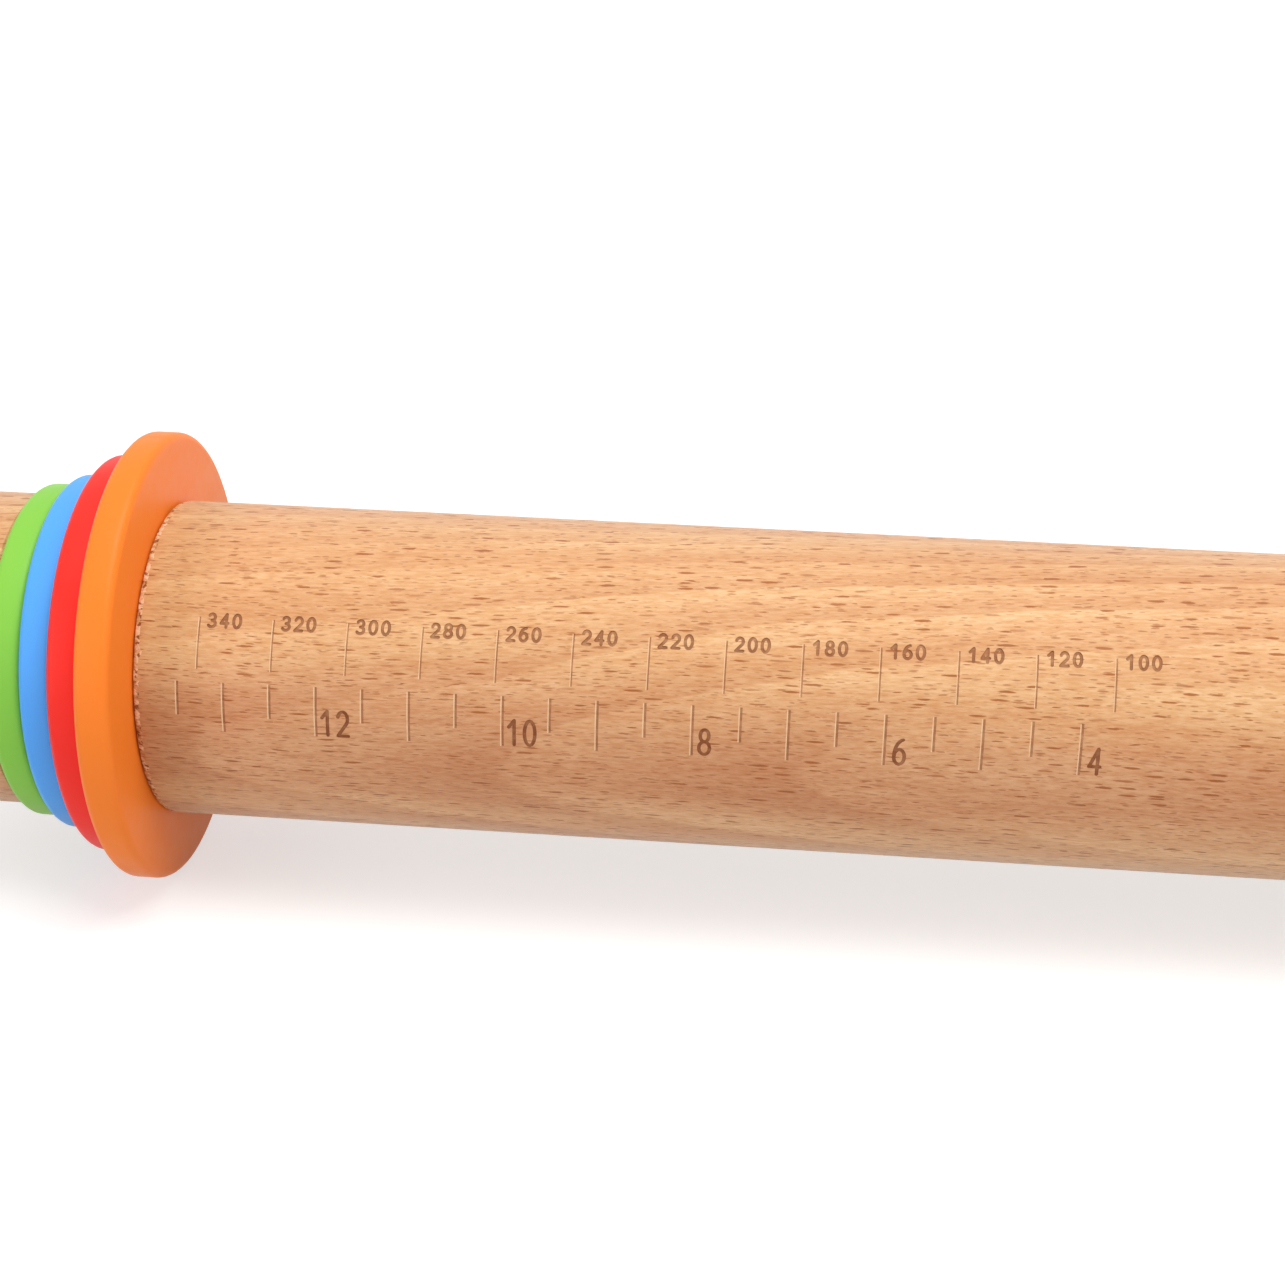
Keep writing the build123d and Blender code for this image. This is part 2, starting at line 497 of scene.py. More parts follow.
def finish_piece(mesh, name, materials):
    """Cleans a mesh, turns its faces outwards and makes it an object at the origin."""
    bmesh.ops.remove_doubles(mesh, verts=mesh.verts, dist=0.001 * mm)
    bmesh.ops.dissolve_degenerate(mesh, edges=mesh.edges, dist=0.0001 * mm)
    bmesh.ops.recalc_face_normals(mesh, faces=mesh.faces)
    open_edges = sum(1 for edge in mesh.edges if not edge.is_manifold)
    data = bpy.data.meshes.new(name)
    mesh.to_mesh(data)
    mesh.free()
    for material in materials:
        data.materials.append(material)
    data.shade_smooth()
    data.set_sharp_from_angle(angle=crease)
    made = place_object(name, data)
    print(f"{name}: {len(data.polygons)} faces, {open_edges} open edges")
    return made


def seat(piece, body, node):
    """The piece rides on its body and stands in for its node, which is hidden."""
    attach(piece, body)
    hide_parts(node)


# %% [markdown]
# Each scale is a row of ticks at even steps, of one length or of two by turns: a rule, so Geometry
# Nodes draw it. A Mesh Line gives the places, each gets a flat grid one unit tall that hangs from
# the line, and every second one may be stretched further. The grid has three strips side by side,
# for a shallow groove: the middle and the right flank are burnt, and the left flank, which faces
# the key light, gets a painted highlight. The tree only draws the ticks flat, in millimetres along
# the pin and round it. The drawing is cut into the wood in a later step.

# %% Geometry Nodes for the ticks
def rule_tree(name, numbers, others):
    """A Geometry Nodes tree with inputs for numbers, for other things and for a material."""
    inputs = {**others, **{number: ("Float", None) for number in numbers}, "Material": ("Material", None)}
    return node_group("Geometry", name, inputs, {"Geometry": "Geometry"})


def end_rule(tree, end, geometry, material):
    """Ends a tree: its instances become real and get the material."""
    real = add(tree, "GeometryNodeRealizeInstances", {0: geometry}).outputs[0]
    painted = add(tree, "GeometryNodeSetMaterial", {"Geometry": real, "Material": material}).outputs[0]
    feed(tree, end, {"Geometry": painted})
    return tree


def tick_tree():
    """A tree that draws a row of flat ticks hanging from the line of their tops."""
    numbers = ("First", "Spacing", "Top", "Even length", "Odd length", "Width")
    tree, given, end = rule_tree("scale_ticks", numbers, {"Count": ("Int", None)})
    first = vector(tree, given["First"], given["Top"])
    inputs = {"Count": given["Count"], "Start Location": first, "Offset": vector(tree, given["Spacing"])}
    row = add(tree, "GeometryNodeMeshLine", inputs, mode="OFFSET").outputs[0]
    flat = {"Size X": given["Width"], "Size Y": 1.0, "Vertices X": 4, "Vertices Y": 2}
    flat = add(tree, "GeometryNodeMeshGrid", flat).outputs[0]
    tick = {"Geometry": flat, "Translation": (0, -0.5, 0)}
    tick = add(tree, "GeometryNodeTransform", tick).outputs[0]
    odd = calc(tree, "MODULO", add(tree, "GeometryNodeInputIndex").outputs[0], 2.0)
    length = {"Factor": odd, "A": given["Even length"], "B": given["Odd length"]}
    length = add(tree, "ShaderNodeMix", length).outputs[0]
    ticks = {"Points": row, "Instance": tick, "Scale": vector(tree, 1.0, length, 1.0)}
    ticks = add(tree, "GeometryNodeInstanceOnPoints", ticks).outputs[0]
    return end_rule(tree, end, ticks, given["Material"])


def grown_mesh(source, tree, values):
    """The plain mesh that a tree makes of a source mesh, with its named inputs set first."""
    holder = place_object("holder", source)
    modifier = holder.modifiers.new("nodes", "NODES")
    modifier.node_group = tree
    for item in tree.interface.items_tree:
        if item.in_out == "INPUT" and item.name in values:
            modifier[item.identifier] = values[item.name]
    bpy.context.view_layer.update()
    mesh = bpy.data.meshes.new_from_object(holder.evaluated_get(bpy.context.evaluated_depsgraph_get()))
    holder.modifiers.remove(modifier)
    bpy.data.objects.remove(holder)
    return mesh


ticks_by_rule = tick_tree()
print("tick tree:", len(ticks_by_rule.nodes), "nodes")

# %% [markdown]
# The figures are plain engraved numbers, so they are drawn as an engraving machine moves: by the
# middle line of each stroke. A figure is a few lines and arcs in a box one unit tall, and each
# stroke gets its width and round ends from one function. Angles are in degrees, from the right.

# %% Figures as strokes
def bow(x, y, across, up, start, stop, steps=10):
    """Points on an ellipse about x, y from one angle to another."""
    turns = [math.radians(start + (stop - start) * i / steps) for i in range(steps + 1)]
    return [(x + across * math.cos(turn), y + up * math.sin(turn)) for turn in turns]


figure_width_share = 0.62
figures = {
    "0": [bow(0.31, 0.5, 0.31, 0.5, 90, 270), bow(0.31, 0.5, 0.31, 0.5, -90, 90)],
    "1": [[(0.08, 0.72), (0.4, 1.0)], [(0.4, 1.0), (0.4, 0.0)]],
    "2": [bow(0.31, 0.7, 0.29, 0.3, 165, -35) + [(0.0, 0.0)], [(0.0, 0.0), (0.62, 0.0)]],
    "3": [bow(0.29, 0.75, 0.27, 0.25, 150, -90), bow(0.29, 0.25, 0.32, 0.25, 90, -150)],
    "4": [[(0.47, 0.0), (0.47, 1.0)], [(0.47, 1.0), (0.0, 0.3)], [(0.0, 0.3), (0.62, 0.3)]],
    "6": [
        bow(0.31, 0.3, 0.3, 0.3, 0, 180),
        bow(0.31, 0.3, 0.3, 0.3, 180, 360),
        bow(0.57, 0.33, 0.56, 0.66, 180, 98),
    ],
    "8": [
        bow(0.31, 0.76, 0.25, 0.24, -90, 90),
        bow(0.31, 0.76, 0.25, 0.24, 90, 270),
        bow(0.31, 0.26, 0.31, 0.26, -90, 90),
        bow(0.31, 0.26, 0.31, 0.26, 90, 270),
    ],
}


def stroke_outline(points, width):
    """The outline of a stroke along its middle line, with round ends."""
    points = [Vector(place) for place in points]
    last = len(points) - 1
    offsets = []
    for i in range(last + 1):
        along = (points[min(i + 1, last)] - points[max(i - 1, 0)]).normalized()
        offsets.append(Vector((-along.y, along.x)) * width / 2)
    near = [place + offset for place, offset in zip(points, offsets)]
    far = [place - offset for place, offset in zip(points, offsets)]
    round_turns = [math.radians(-degrees) for degrees in (36, 72, 108, 144)]
    tail = [points[last] + Matrix.Rotation(turn, 2) @ offsets[last] for turn in round_turns]
    head = [points[0] - Matrix.Rotation(turn, 2) @ offsets[0] for turn in round_turns]
    return near + tail + far[::-1] + head


def number_marks(slot, text, sign, place, offset, bottom, size):
    """(material slot, outline) of a number beside its tick, on the side towards the middle, in mm."""
    height, figure, gap, stroke = size
    wide = figure * len(text) + gap * (len(text) - 1)
    left = sign * place + offset if sign < 0 else sign * place - offset - wide
    across = (figure - stroke) / figure_width_share
    made = []
    for i, character in enumerate(text):
        start = left + i * (figure + gap) + stroke / 2
        for line in figures[character]:
            places = [(start + x * across, bottom + stroke / 2 + y * (height - stroke)) for x, y in line]
            made.append((slot, stroke_outline(places, stroke)))
    return made


print("figures drawn:", " ".join(figures))

# %% [markdown]
# Now both scales are laid out flat. The upper one gives the width of the dough in millimetres and
# the lower one in inches, and both are mirrored about the middle of the pin, though the numbers
# still read from left to right. Heights are angles round the roller, measured in the photograph.
# The real engraving isn't perfect: its rows climb a little to the right, and each inch number
# keeps its own distance from its tick. Both are kept, because a faultless ruler looks drawn.

# %% Lay out the two scales
def height_round(turn):
    """How far round the roller an angle of the photograph lies, in millimetres."""
    return (turn + eye_height) * roller_radius / mm


metric_labels = list(range(340, 99, -20))
metric_spacing = 10.0
metric_top, metric_bottom, metric_text_bottom = [height_round(turn) for turn in (0.257, -0.058, 0.188)]
metric_tick_width = 0.33
metric_text_offset = 0.97
metric_text_size = (2.2, 1.37, 0.32, 0.42)
inch_labels = {
    "12": (153.9, 0.42),
    "10": (128.9, 0.42),
    "8": (103.9, 0.7),
    "6": (78.9, 1.0),
    "4": (53.9, 0.95),
}
inch_count, inch_first, inch_spacing = 20, 172.66, 6.25
inch_top, inch_short_bottom, inch_long_bottom = [height_round(turn) for turn in (-0.134, -0.344, -0.443)]
inch_tick_width = 0.48
inch_text_size = (3.9, 1.87, 0.4, 0.47)
tick_shift = -0.05
skew = 0.0082
skew_start = -140


def tick_marks(count, first, spacing, top, even_bottom, odd_bottom, width):
    """(material slot, outline) of the three strips of each tick, as the tree draws them."""
    drawn = grown_mesh(bpy.data.meshes.new("empty"), ticks_by_rule, {
        "Count": count,
        "First": first,
        "Spacing": spacing,
        "Top": top,
        "Even length": top - even_bottom,
        "Odd length": top - odd_bottom,
        "Width": width,
        "Material": roller_wood,
    })
    made = []
    for face in drawn.polygons:
        outline = [drawn.vertices[v].co.xy.copy() for v in face.vertices]
        steps_off = (face.center.x - first) / spacing
        off = (steps_off - round(steps_off)) * spacing
        # the left strip, which faces the key light, gets the painted highlight; the other two are burnt
        made.append((highlight_flank_slot if off < -width / 6 else burnt_slot, outline))
    return made


def askew(place):
    """The engraving was set up a hair askew: its rows climb a little towards the right."""
    return Vector((place[0], place[1] + skew * (place[0] - skew_start)))


def scale_marks():
    """Every tick and number of both scales, at both ends of the roller."""
    made = []
    for sign in sides.values():
        first = sign * metric_labels[0] / 2 + tick_shift
        heights = (metric_top, metric_bottom, metric_bottom)
        made += tick_marks(len(metric_labels), first, -sign * metric_spacing, *heights, metric_tick_width)
        first = sign * inch_first + tick_shift
        heights = (inch_top, inch_short_bottom, inch_long_bottom)
        made += tick_marks(inch_count, first, -sign * inch_spacing, *heights, inch_tick_width)
        for value in metric_labels:
            beside = (value / 2, metric_text_offset, metric_text_bottom, metric_text_size)
            made += number_marks(faint_slot, str(value), sign, *beside)
        for text, (place, offset) in inch_labels.items():
            made += number_marks(floor_slot, text, sign, place, offset, inch_long_bottom, inch_text_size)
    return [(slot, [askew(place) for place in outline]) for slot, outline in made]


marks = scale_marks()
print("outlines to engrave:", len(marks))

# %% [markdown]
# To engrave the marks, the strip of the roller that carries them is triangulated flat. The
# outlines of all marks are edges that the triangles must keep, and so are the rows that run along
# the pin, so that the bent strip stays round. Then the figures go straight down, with walls that
# join their floors to the surface, and the ticks become shallow grooves. Bent round the roller,
# the strip meets plain rows of faces. A Boolean could do it too, but here every mark stays within
# plain reach.

# %% Triangulate the engraved strip
roller_columns = 360
strip_rows = range(-4, 49)
sheet_end = roller_end / mm - 2.0
station_count = 45
figure_depth = 0.12 * mm
groove_depth = 0.07 * mm
stations = [sheet_end * (2 * i / (station_count - 1) - 1) for i in range(station_count)]
degree_length = math.radians(1) * roller_radius / mm


def strip_mesh():
    """Flat places, triangles, and for each triangle the material slot of the mark it lies in."""
    places = [Vector((x, j * degree_length)) for j in strip_rows for x in stations]
    starts = range(0, len(places), station_count)
    edges = [(start + i, start + i + 1) for start in starts for i in range(station_count - 1)]
    for start in starts[:-1]:
        for i in (start, start + station_count - 1):
            edges.append((i, i + station_count))
    faces = []
    for slot, outline in marks:
        area = sum(a.x * b.y - b.x * a.y for a, b in zip(outline, outline[1:] + outline[:1]))
        outline = outline if area > 0 else outline[::-1]
        faces.append(list(range(len(places), len(places) + len(outline))))
        places += outline
    found = delaunay_2d_cdt(places, edges, faces, 0, 0.0001, True)
    flat, triangles, owners = found[0], found[2], found[5]
    return flat, triangles, [marks[own[0]][0] if own else 0 for own in owners]


flat_places, flat_faces, face_slots = strip_mesh()
print("strip:", len(flat_faces), "triangles,", sum(1 for slot in face_slots if slot), "of them engraved")


# %% Bend the strip round the roller
def bent(place, depth):
    """A flat place bent round the roller, that deep under its surface."""
    return point(place.x * mm, roller_radius - depth, place.y / degree_length)


def add_strip(mesh):
    """The engraved strip: its surface, grooves for the ticks, and figures with floors and walls."""
    kept_up = set()
    for face, slot in zip(flat_faces, face_slots):
        if slot not in (highlight_flank_slot, burnt_slot):
            kept_up.update(face)
    top = []
    for v, place in enumerate(flat_places):
        top.append(mesh.verts.new(bent(place, 0 if v in kept_up else groove_depth)))
    low = {}
    sides_of_edges = {}
    for face, slot in zip(flat_faces, face_slots):
        deep = slot in (floor_slot, faint_slot)
        corners = [top[v] for v in face]
        if deep:
            for v in face:
                if v not in low:
                    low[v] = mesh.verts.new(bent(flat_places[v], figure_depth))
            corners = [low[v] for v in face]
        mesh.faces.new(corners).material_index = slot
        for a, b in zip(face, face[1:] + face[:1]):
            sides_of_edges.setdefault((min(a, b), max(a, b)), []).append(deep)
    for (a, b), depths in sides_of_edges.items():
        if len(depths) == 2 and depths[0] != depths[1]:
            mesh.faces.new((top[a], top[b], low[b], low[a])).material_index = wall_slot


def add_plain_rows(mesh):
    """The rest of the roller's surface, in straight rows from one end to the other."""
    across = range(strip_rows[-1], strip_rows[0] + roller_columns + 1)
    grid = [[mesh.verts.new(point(x * mm, roller_radius, j)) for j in across] for x in stations]
    for row, following in zip(grid, grid[1:]):
        for k in range(len(across) - 1):
            mesh.faces.new((row[k], row[k + 1], following[k + 1], following[k]))


# %% [markdown]
# The saw and the lathe leave a slightly ragged edge at each end of the roller, with tiny chips
# where the fibres broke off. The loops that form the edge are pushed in by noise, which only ever
# takes wood away. Inside each end is the socket that the threaded insert is pressed into: a seat
# for its flange, grooves for its six ribs, and a drilled hole for the screw.

# %% Roller with its ends and sockets
seat_gap = 0.05 * mm
insert_size = {
    "flange": 14.98 * mm,
    "flange_depth": 2.2 * mm,
    "rib": 12.38 * mm,
    "rib_depth": 21.5 * mm,
    "sleeve": 11.28 * mm,
    "sleeve_depth": 24 * mm,
}
insert_levels = ("flange", "rib", "sleeve")
insert_ribs = 6
insert_rib_half = 1 * mm
socket = {name: size + seat_gap for name, size in insert_size.items()}
hole_radius = 8.13 * mm
hole_depth = 46.7 * mm
tear_rows = ((0.6, 0, 0.9, 0), (0.3, 0.05, 0.3, 0.15), (0.08, 0.18, 0.25, 0.2), (0, 0.5, 0.05, 0.25))
tear_width = 1.6 * mm
chip_along, chip_inwards = 0.55 * mm, 0.45 * mm


def ribbed_loop(place, low_radius, high_radius, half_width, columns, edge):
    """A circle with square ribs. edge is the column, counted from a rib's middle, that ends its top."""
    step = columns // insert_ribs
    loop = []
    for j in range(columns):
        offset = (j + step // 2) % step - step // 2
        middle = 360 * (j - offset) / columns
        radius = high_radius if abs(offset) <= edge else low_radius
        degrees = 360 * offset / columns
        if abs(offset) in (edge, edge + 1):
            degrees = math.copysign(math.degrees(math.asin(half_width / radius)), offset)
        loop.append(point(place, radius, middle + degrees))
    return loop


def chip(place, reach, size):
    """How much wood is missing at a place on the edge: mostly little, here and there more."""
    fine = noise.noise(place / size)
    coarse = noise.noise(place / (4 * size) + Vector((5.3, 1.7, 8.1)))
    return reach * (0.25 + 0.5 * max(fine, 0) + 1.1 * max(coarse - 0.15, 0))


def ragged_loop(place, radius, sign, along, inwards):
    """A loop of the roller's edge, worn back along the pin and towards its axis."""
    loop = []
    for j in range(roller_columns):
        degrees = 360 * j / roller_columns
        spot = point(place, radius, degrees)
        back = chip(spot, along, chip_along)
        down = chip(spot + Vector((0.2, 0, 0)), inwards, chip_inwards)
        loop.append(point(place - sign * back, radius - down, degrees))
    return loop


def add_end(mesh, sign):
    """One end of the roller, from the worn edge to the bottom of the socket."""
    end = sign * roller_end
    flange, rib, sleeve = [socket[name] for name in insert_levels]
    seat_floor, rib_floor, sleeve_floor = [end - sign * socket[f"{name}_depth"] for name in insert_levels]
    hole_floor = end - sign * hole_depth
    ribs = (sleeve, rib, insert_rib_half + seat_gap, roller_columns, 4)

    def plain(place, radius):
        return round_loop(place, radius, roller_columns)

    tear = []
    for back, down, along, inwards in tear_rows:
        place, radius = end - sign * back * mm, roller_radius - down * mm
        tear.append(ragged_loop(place, radius, sign, along * mm, inwards * mm))
    tear.append(plain(end, roller_radius - tear_width))
    skin(mesh, [plain(sign * sheet_end * mm, roller_radius), tear[0]])
    skin(mesh, tear, slot=torn_slot)
    skin(mesh, [
        tear[-1],
        plain(end, flange),
        plain(seat_floor, flange),
        ribbed_loop(seat_floor, *ribs),
        ribbed_loop(rib_floor, *ribs),
        plain(rib_floor, sleeve),
        plain(sleeve_floor, sleeve),
        plain(sleeve_floor, hole_radius),
        plain(hole_floor, hole_radius),
        plain(hole_floor - sign * hole_radius / 2, 0),
    ])


roller_mesh = bmesh.new()
add_strip(roller_mesh)
add_plain_rows(roller_mesh)
for sign in sides.values():
    add_end(roller_mesh, sign)
seat(finish_piece(roller_mesh, "engraved_roller", roller_materials), "roller", "roller")

# %% [markdown]
# A moulded ring is thick, so the mould takes plastic out of one face: a pocket with six ribs is
# left between the hub and the rim, and the other face, towards the roller, is smooth. The ring is
# one closed profile that runs round the axis. At a rib the profile stays level instead of going
# down into the pocket, and doubled columns at the rib's edges give it upright sides.

# %% Moulded rings
ring_bore, ring_hub, ring_core = 8.3 * mm, 11.7 * mm, 18.8 * mm
ring_web, ring_rib, ring_edge, ring_bevel = 1.8 * mm, 1.6 * mm, 1.1 * mm, 0.3 * mm
ring_ribs = 6
pocket_columns = 24


def ring_loop(base, sign, depth, pocket_depth, radius):
    """One loop of a ring: its ribs stay at depth, and the rest lies at pocket_depth."""
    half = math.degrees(math.asin(ring_rib / 2 / radius))
    sector = 360 / ring_ribs
    loop = []
    for k in range(ring_ribs):
        middle = k * sector
        for offset in (-half, 0, half):
            loop.append(point(base + sign * depth, radius, middle + offset))
        for i in range(pocket_columns + 1):
            offset = half + (sector - 2 * half) * i / pocket_columns
            loop.append(point(base + sign * pocket_depth, radius, middle + offset))
    return loop


def make_ring(side, tint):
    """One ring of one end, with its smooth face towards the roller."""
    node = f"{side}_{tint}_ring"
    low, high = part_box(node)
    sign = sides[side]
    base = low.x if sign > 0 else high.x
    thick, rim = high.x - low.x, high.z
    rim_profile = rounded([
        (0, ring_core, 0),
        (0, rim, ring_edge),
        (thick, rim, ring_edge),
        (thick, ring_core, 0),
    ])
    profile = [(0, 0, ring_bore)] + [(depth, depth, radius) for depth, radius in rim_profile]
    profile += [(thick, ring_web, ring_core), (thick, ring_web, ring_hub)]
    profile += [(thick, thick, ring_hub), (thick, thick, ring_bore)]
    mesh = bmesh.new()
    skin(mesh, [ring_loop(base, sign, *row) for row in profile], closed=True)
    piece = finish_piece(mesh, f"{side}_{tint}_thickness_ring", [plastics[tint]])
    bevel = piece.modifiers.new("soft edges", "BEVEL")
    bevel.width = ring_bevel
    bevel.segments = 3
    bevel.limit_method = "ANGLE"
    bevel.angle_limit = wide_crease
    seat(piece, node, node)


for side in sides:
    for tint in ring_colours:
        make_ring(side, tint)

# %% [markdown]
# The screws and the inserts share one thread. It is a rule, a groove that climbs one pitch a turn,
# so Geometry Nodes cut it: each point near the shank's surface is moved towards the axis by a
# depth that depends on its place along the pin and its angle round it. The inserts use the same
# tree with a slightly wider crest, so their ridges lie in the screw's groove at every turn.

# %% Geometry Nodes for the thread
def thread_tree():
    """A tree that cuts a right-handed thread into the turned surface under a given reach."""
    numbers = ("Pitch", "Depth", "Crest", "Reach", "Inner end", "Outer end", "Run-out")
    tree, given, end = rule_tree("cut_thread", numbers, {"Geometry": ("Geometry", None)})
    axes = parts(tree, add(tree, "GeometryNodeInputPosition").outputs[0])
    square = calc(tree, "MULTIPLY", axes[2], axes[2])
    radius = calc(tree, "SQRT", calc(tree, "MULTIPLY_ADD", axes[1], axes[1], square))
    turns = calc(tree, "DIVIDE", calc(tree, "ARCTAN2", axes[2], axes[1]), 2 * math.pi)
    phase = calc(tree, "SUBTRACT", calc(tree, "DIVIDE", axes[0], given["Pitch"]), turns)
    wave = calc(tree, "ABSOLUTE", calc(tree, "SUBTRACT", calc(tree, "FRACT", phase), 0.5))
    groove = smooth_step(tree, wave, 0.14, 0.38)
    place = calc(tree, "ABSOLUTE", axes[0])
    inner_stop = calc(tree, "ADD", given["Inner end"], given["Run-out"])
    outer_start = calc(tree, "SUBTRACT", given["Outer end"], given["Run-out"])
    fade = smooth_step(tree, place, given["Inner end"], inner_stop)
    fade = calc(tree, "MULTIPLY", fade, smooth_step(tree, place, given["Outer end"], outer_start))
    cut = calc(tree, "MULTIPLY", calc(tree, "MULTIPLY", groove, fade), given["Depth"])
    surface = calc(tree, "MINIMUM", radius, calc(tree, "SUBTRACT", given["Crest"], cut))
    share = calc(tree, "DIVIDE", surface, calc(tree, "MAXIMUM", radius, 0.01 * mm))
    moved = vector(tree, axes[0], *[calc(tree, "MULTIPLY", axes[i], share) for i in (1, 2)])
    within = calc(tree, "LESS_THAN", radius, given["Reach"])
    inputs = {"Geometry": given["Geometry"], "Selection": within, "Position": moved}
    shaped = add(tree, "GeometryNodeSetPosition", inputs).outputs[0]
    return end_rule(tree, end, shaped, given["Material"])


thread_by_rule = thread_tree()
thread_pitch = 4 * mm
thread_depth = 1.2 * mm
thread_step = 0.2 * mm
screw_radius = 8 * mm
print("thread tree:", len(thread_by_rule.nodes), "nodes")


def threaded(piece, material, crest, inner_end, outer_end, run_out):
    """Replaces a piece's mesh by the one with its thread cut."""
    cut = grown_mesh(piece.data, thread_by_rule, {
        "Pitch": thread_pitch,
        "Depth": thread_depth,
        "Crest": crest,
        "Reach": crest + 0.1 * mm,
        "Inner end": inner_end,
        "Outer end": outer_end,
        "Run-out": run_out,
        "Material": material,
    })
    cut.name = piece.name
    piece.data = cut
    cut.shade_smooth()
    cut.set_sharp_from_angle(angle=wide_crease)
    print(f"{piece.name}: thread cut, {len(cut.polygons)} faces")


# %% [markdown]
# Each end screw is one long moulding: a rounded tip, just over six turns of thread, a plain shank
# on which the rings slide, and a flanged hexagonal head that is glued into the end cap. The loops
# lie close together where the thread will be cut, and far apart where nothing changes.

# %% End screws
turned_columns = 120
screw_low, screw_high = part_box("right_end_screw")
screw_tip, screw_head, head_flange = screw_low.x, screw_high.x, screw_high.z
head_flange_depth = 2 * mm
head_edge = 0.3 * mm
hexagon_radius = 11 * mm
hexagon_edge = 0.4 * mm
tip_face, tip_shoulder = 5.2 * mm, 5.9 * mm
tip_break, tip_nose, tip_chamfer = 0.25 * mm, 0.3 * mm, 1.2 * mm
tip_steps = 6
thread_past_end = 2 * mm
fine_past_end = 2.5 * mm
shank_margin = 1 * mm
screw_run_out = 1.5 * mm


def hexagon_loop(place, radius, columns):
    """A hexagon of points with corners at every sixth of the turn."""
    loop = []
    for j in range(columns):
        degrees = 360 * j / columns
        flat = math.radians(degrees % 60 - 30)
        loop.append(point(place, radius * math.cos(math.radians(30)) / math.cos(flat), degrees))
    return loop


def make_screw(side):
    """One end screw, from its tip in the roller to its head in the cap."""
    sign = sides[side]
    profile = [(screw_tip, 0.0), (screw_tip, tip_face), (screw_tip + tip_break, tip_shoulder)]
    for i in range(tip_steps + 1):
        share = i / tip_steps
        along = screw_tip + tip_nose + (tip_chamfer - tip_nose) * share
        profile.append((along, screw_radius - tip_chamfer * (1 - share)))
    steps = round((roller_end + fine_past_end - screw_tip - tip_chamfer) / thread_step)
    profile += [(screw_tip + tip_chamfer + thread_step * i, screw_radius) for i in range(1, steps)]
    profile += [(cap_start - shank_margin, screw_radius), (cap_start, screw_radius)]
    profile += rounded([
        (cap_start, screw_radius, 0),
        (cap_start, head_flange, head_edge),
        (cap_start + head_flange_depth, head_flange, head_edge),
        (cap_start + head_flange_depth, hexagon_radius, 0),
    ], 3)[1:-1]
    loops = [round_loop(sign * place, radius, turned_columns) for place, radius in profile]
    for place, cut in (
        (cap_start + head_flange_depth, 0),
        (screw_head - hexagon_edge, 0),
        (screw_head, hexagon_edge),
    ):
        loops.append(hexagon_loop(sign * place, hexagon_radius - cut, turned_columns))
    loops.append(round_loop(sign * screw_head, 0, turned_columns))
    mesh = bmesh.new()
    skin(mesh, loops)
    piece = finish_piece(mesh, f"{side}_long_screw", [plastics["screw"]])
    inner_end, outer_end = screw_tip - screw_run_out, roller_end + thread_past_end
    threaded(piece, plastics["screw"], screw_radius, inner_end, outer_end, screw_run_out)
    seat(piece, f"{side}_cap", f"{side}_end_screw")


for side in sides:
    make_screw(side)

# %% [markdown]
# The insert is the nut for the screw. Its ribs bite into the wood, so that it can't turn, and its
# flange lies flush with the roller's end. Only the flange and the threaded bore ever show, but
# the whole piece is modelled, because it is a part in its own right.

# %% Threaded inserts
insert_bore = 8.08 * mm
insert_mouth = 0.8 * mm
flange_break, flange_edge = 0.08 * mm, 0.25 * mm
sleeve_edge, bore_edge = 0.3 * mm, 0.1 * mm
insert_rib_taper = 2 * mm
thread_start = 0.9 * mm
insert_run_out = 1.2 * mm


def make_insert(side):
    """One ribbed insert with its thread."""
    sign = sides[side]
    flange, rib, sleeve = [insert_size[name] for name in insert_levels]
    flange_depth, rib_depth, depth = [insert_size[f"{name}_depth"] for name in insert_levels]

    def plain(deep, radius):
        return round_loop(sign * (roller_end - deep), radius, turned_columns)

    def ribbed(deep, rise):
        high = sleeve + (rib - sleeve) * rise
        return ribbed_loop(sign * (roller_end - deep), sleeve, high, insert_rib_half, turned_columns, 1)

    steps = round((depth - thread_start) / thread_step)
    loops = [
        plain(0, insert_bore + insert_mouth),
        plain(0, flange - flange_edge),
        plain(flange_break, flange - flange_break),
        plain(flange_edge, flange),
        plain(flange_depth, flange),
        ribbed(flange_depth, 1),
        ribbed(rib_depth - insert_rib_taper, 1),
        ribbed(rib_depth, 0.1),
        plain(rib_depth, sleeve),
        plain(depth - sleeve_edge, sleeve),
        plain(depth, sleeve - sleeve_edge),
        plain(depth, insert_bore + bore_edge),
    ]
    loops += [plain(depth - bore_edge - thread_step * i, insert_bore) for i in range(steps)]
    mesh = bmesh.new()
    skin(mesh, loops, closed=True)
    piece = finish_piece(mesh, f"{side}_ribbed_insert", [plastics["insert"]])
    inner_end, outer_end = roller_end - depth, roller_end - thread_start
    threaded(piece, plastics["insert"], insert_bore, inner_end, outer_end, insert_run_out)
    seat(piece, "roller", f"{side}_threaded_insert")


for side in sides:
    make_insert(side)

# %% [markdown]
# The caps are turned from the same beech. A cap has a generous round at its outer end, where the
# palm rests, and a small break at its inner edge. Its recess holds the screw's head: a round seat
# for the flange and a hexagonal one for the nut, so that turning the cap turns the screw.

# %% End caps
cap_columns = 180
cap_round = 4.5 * mm
cap_corner = 0.6 * mm


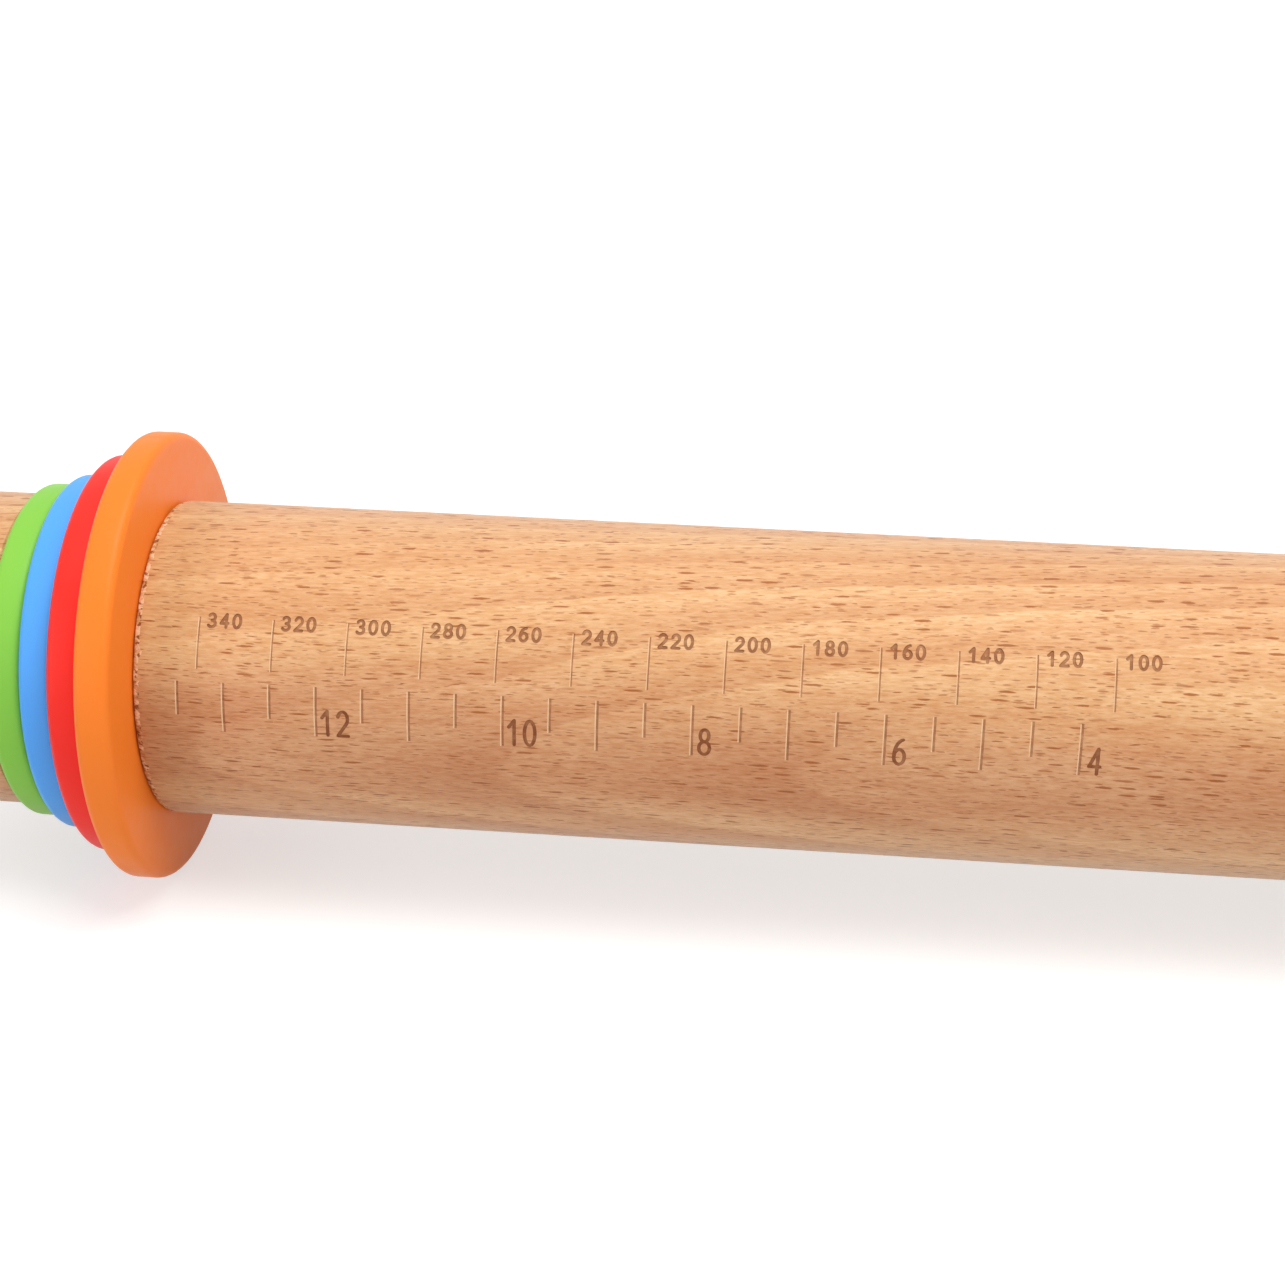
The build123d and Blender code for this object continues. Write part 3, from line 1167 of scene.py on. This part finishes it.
def make_cap(side):
    """One end cap with the recess for the screw's head."""
    sign = sides[side]
    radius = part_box(f"{side}_end_cap")[1].z
    seat_radius, nut_radius = head_flange + seat_gap, hexagon_radius + seat_gap
    outside = rounded([
        (cap_start, seat_radius, 0),
        (cap_start, radius - cap_corner, 0),
        (cap_start + cap_corner, radius, 0),
        (pin_end, radius, cap_round),
        (pin_end, 0, 0),
    ], 10)
    mesh = bmesh.new()
    skin(mesh, [round_loop(sign * place, max(size, 0), cap_columns) for place, size in outside])
    seat_floor = sign * (cap_start + head_flange_depth + seat_gap)
    bottom = sign * (screw_head + seat_gap)
    skin(mesh, [
        round_loop(sign * cap_start, seat_radius, cap_columns),
        round_loop(seat_floor, seat_radius, cap_columns),
        hexagon_loop(seat_floor, nut_radius, cap_columns),
        hexagon_loop(bottom, nut_radius, cap_columns),
        round_loop(bottom, 0, cap_columns),
    ])
    piece = finish_piece(mesh, f"{side}_beech_cap", [cap_wood[side]])
    seat(piece, f"{side}_cap", f"{side}_end_cap")


for side in sides:
    make_cap(side)

# %% [markdown]
# The pin lies on a plain white table top, a little wider than the lamps stand apart. To the
# camera and in mirrors the floor glows a little, so that it reads as the white of the photograph,
# but that glow lights nothing, and the soft shadow under the pin stays. The world does the same
# for rays that pass over the edge of the floor.

# %% Floor and world
floor_half = 1.6
floor_glow = 0.58
sky_light = 0.47


def seen_rays(tree):
    """1 for the rays that show the surface to the camera, by itself or in a mirror or a glass."""
    rays = add(tree, "ShaderNodeLightPath").outputs
    seen = calc(tree, "MAXIMUM", rays["Is Camera Ray"], rays["Is Glossy Ray"])
    return calc(tree, "MAXIMUM", seen, rays["Is Transmission Ray"])


def make_floor():
    """A wide plain floor that the camera sees as nearly white."""
    data = bpy.data.meshes.new("floor")
    turns = ((-1, -1), (1, -1), (1, 1), (-1, 1))
    corners = [(x * floor_half, y * floor_half, floor_level) for x, y in turns]
    data.from_pydata(corners, [], [(0, 1, 2, 3)])
    floor = place_object("floor", data)
    material = bpy.data.materials.new("white_floor")
    material.use_nodes = True
    tree = material.node_tree
    feed(tree, tree.nodes["Principled BSDF"], {
        "Base Color": (0.6, 0.6, 0.6, 1),
        "Roughness": 0.9,
        "Specular IOR Level": 0.0,
        "Emission Color": (1, 1, 1, 1),
        "Emission Strength": calc(tree, "MULTIPLY", seen_rays(tree), floor_glow),
    })
    data.materials.append(material)


def make_world():
    """An even sky that lights the pin, and shows as white."""
    world = bpy.data.worlds.new("studio")
    bpy.context.scene.world = world
    world.use_nodes = True
    tree = world.node_tree
    strength = calc(tree, "MULTIPLY_ADD", seen_rays(tree), 1 - sky_light, sky_light)
    feed(tree, tree.nodes["Background"], {"Color": (0.985, 0.992, 1.0, 1), "Strength": strength})


make_floor()
make_world()

# %% [markdown]
# One large soft light hangs almost straight above the pin, as in a small product studio. It gives
# the roller its bright upper side and lets the tone fall off gently towards the floor. Two weak
# ones fill the front: the one from the left keeps the colour in the rims of the rings, and the
# one from the right, weaker still, opens the shade on the orange face.

# %% Lamps
def make_lamp(name, place, aim, size, power):
    """A square soft light that looks at a point."""
    data = bpy.data.lights.new(name, "AREA")
    data.energy = power
    data.size = size
    lamp = place_object(name, data)
    lamp.location = place
    lamp.rotation_euler = (Vector(aim) - Vector(place)).to_track_quat("-Z", "Y").to_euler()


make_lamp("soft_box", (0.5, -0.3, 2.35), (-0.05, 0, 0), 1.8, 49)
make_lamp("left_fill", (-1.5, -1.4, 0.6), (-0.1, 0, 0), 1.2, 9)
make_lamp("right_fill", (1.5, -1.2, 0.5), (-0.1, 0, 0), 1.0, 3)

# %% [markdown]
# Last, the view transform stays plain, so that colours render as they are written.

# %% Finish
bpy.context.scene.view_settings.view_transform = "Standard"
